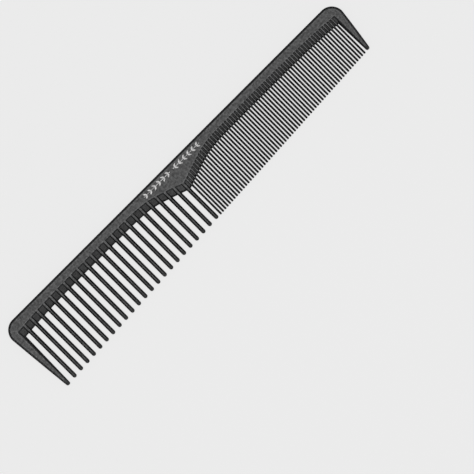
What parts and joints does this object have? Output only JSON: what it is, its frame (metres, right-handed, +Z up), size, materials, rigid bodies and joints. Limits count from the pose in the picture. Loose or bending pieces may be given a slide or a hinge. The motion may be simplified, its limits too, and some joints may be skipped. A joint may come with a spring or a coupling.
{
  "type": "hair comb",
  "caption": "Flat barber's cutting comb with wide-set coarse teeth on one half, close-set fine teeth on the other and a solid guard at each end.",
  "frame": {"origin": "centre of the comb's bounding box, on its underside", "axes": "+X along the comb from the coarse end to the fine end, +Y towards the back edge, +Z up through the thickness"},
  "size_m": [0.1782, 0.0329, 0.0038],
  "materials": {
    "carbon_resin": "satin black carbon-filled resin with a fine moulded grain",
    "print_ink": "thin pad-printed light ink"
  },
  "bodies": {
    "root": {"spine_coarse_end": "carbon_resin", "spine_coarse": "carbon_resin", "spine_throat": "carbon_resin", "spine_fine": "carbon_resin", "spine_fine_end": "carbon_resin", "coarse_end_guard": "carbon_resin", "fine_end_guard": "carbon_resin", "coarse_tooth_01": "carbon_resin", "coarse_tooth_02": "carbon_resin", "coarse_tooth_03": "carbon_resin", "coarse_tooth_04": "carbon_resin", "coarse_tooth_05": "carbon_resin", "coarse_tooth_06": "carbon_resin", "coarse_tooth_07": "carbon_resin", "coarse_tooth_08": "carbon_resin", "coarse_tooth_09": "carbon_resin", "coarse_tooth_10": "carbon_resin", "coarse_tooth_11": "carbon_resin", "coarse_tooth_12": "carbon_resin", "coarse_tooth_13": "carbon_resin", "coarse_tooth_14": "carbon_resin", "coarse_tooth_15": "carbon_resin", "coarse_tooth_16": "carbon_resin", "coarse_tooth_17": "carbon_resin", "coarse_tooth_18": "carbon_resin", "coarse_tooth_19": "carbon_resin", "coarse_tooth_20": "carbon_resin", "coarse_tooth_21": "carbon_resin", "coarse_tooth_22": "carbon_resin", "coarse_tooth_23": "carbon_resin", "fine_teeth_1": "carbon_resin", "fine_teeth_2": "carbon_resin", "fine_teeth_3": "carbon_resin", "fine_teeth_4": "carbon_resin", "fine_teeth_5": "carbon_resin", "fine_teeth_6": "carbon_resin", "fine_teeth_7": "carbon_resin", "fine_teeth_8": "carbon_resin", "fine_teeth_9": "carbon_resin"}
  },
  "joints": []
}
